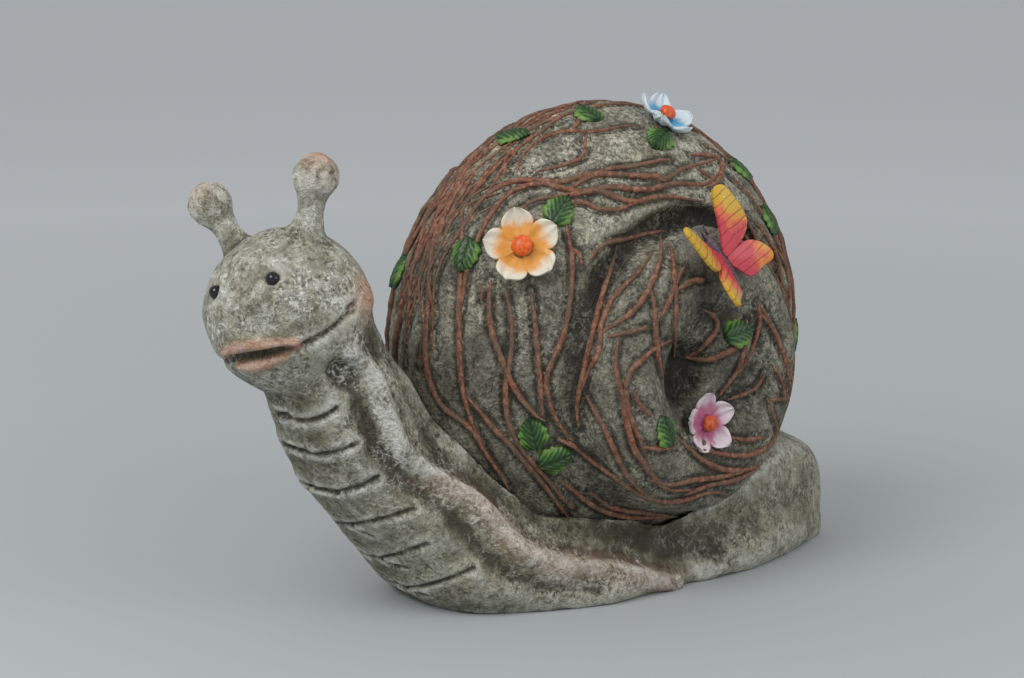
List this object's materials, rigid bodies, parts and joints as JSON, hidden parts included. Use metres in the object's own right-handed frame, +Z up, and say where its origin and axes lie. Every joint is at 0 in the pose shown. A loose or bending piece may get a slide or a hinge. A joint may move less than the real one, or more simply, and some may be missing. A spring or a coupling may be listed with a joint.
{
  "type": "snail figurine",
  "caption": "Garden snail ornament: a cast foot, neck and smiling head carry a coiled shell dressed with vines, leaves, flowers and a butterfly.",
  "frame": {"origin": "centre of the bounding box in plan, on the flat underside of the foot", "axes": "+Z up; the snail looks along -Y, its tail points to +Y; its left side, which the picture shows, faces +X"},
  "size_m": [0.2216, 0.4208, 0.2798],
  "materials": {
    "body_casting": "rough cast stone look, grey-green with a dark wash in the recesses and pale dry-brushed edges",
    "shell_casting": "rough cast stone look, dark grey-green with pale cream patches and bark-like grain",
    "vines": "matt red-brown paint with pale worn edges",
    "leaves": "satin green paint with lighter veins",
    "orange_petals": "satin orange-yellow paint with white rims",
    "blue_petals": "satin pale blue and white paint",
    "pink_petals": "satin mauve-pink and white paint",
    "flower_centres": "satin orange paint",
    "butterfly_body": "satin purple-grey paint",
    "butterfly_wings": "satin paint running from pink-red through orange to yellow tips, with white dots",
    "eyes": "glossy black beads",
    "stalk_rods": "plain steel rod, hidden inside the stalks",
    "plug": "matt dark grey"
  },
  "bodies": {
    "root": {"shell_casting": "shell_casting", "body_casting": "body_casting", "base_plug": "plug", "stalk_left": "body_casting", "stalk_right": "body_casting", "stalk_rod_left": "stalk_rods", "stalk_rod_right": "stalk_rods", "eye_left": "eyes", "eye_right": "eyes", "leaf_front_flank": "leaves", "leaf_front_rim": "leaves", "leaf_above_orange_flower": "leaves", "leaf_crown_front": "leaves", "leaf_by_blue_flower": "leaves", "leaf_behind_blue_flower": "leaves", "leaf_crown_rear": "leaves", "leaf_rear_upper": "leaves", "leaf_rear_low": "leaves", "leaf_low_upper": "leaves", "leaf_low_lower": "leaves", "leaf_by_pink_flower": "leaves", "leaf_on_coil": "leaves", "orange_flower_petals": "orange_petals", "orange_flower_centre": "flower_centres", "blue_flower_petals": "blue_petals", "blue_flower_centre": "flower_centres", "pink_flower_petals": "pink_petals", "pink_flower_centre": "flower_centres", "butterfly_body": "butterfly_body", "butterfly_wing_left": "butterfly_wings", "butterfly_wing_right": "butterfly_wings", "vines_rim_front": "vines", "vines_rim_rear": "vines", "vines_flank_left": "vines", "vines_flank_right": "vines", "vines_rear_left": "vines", "vines_rear_right": "vines", "vines_whorl_left": "vines", "vines_whorl_right": "vines"}
  },
  "joints": []
}
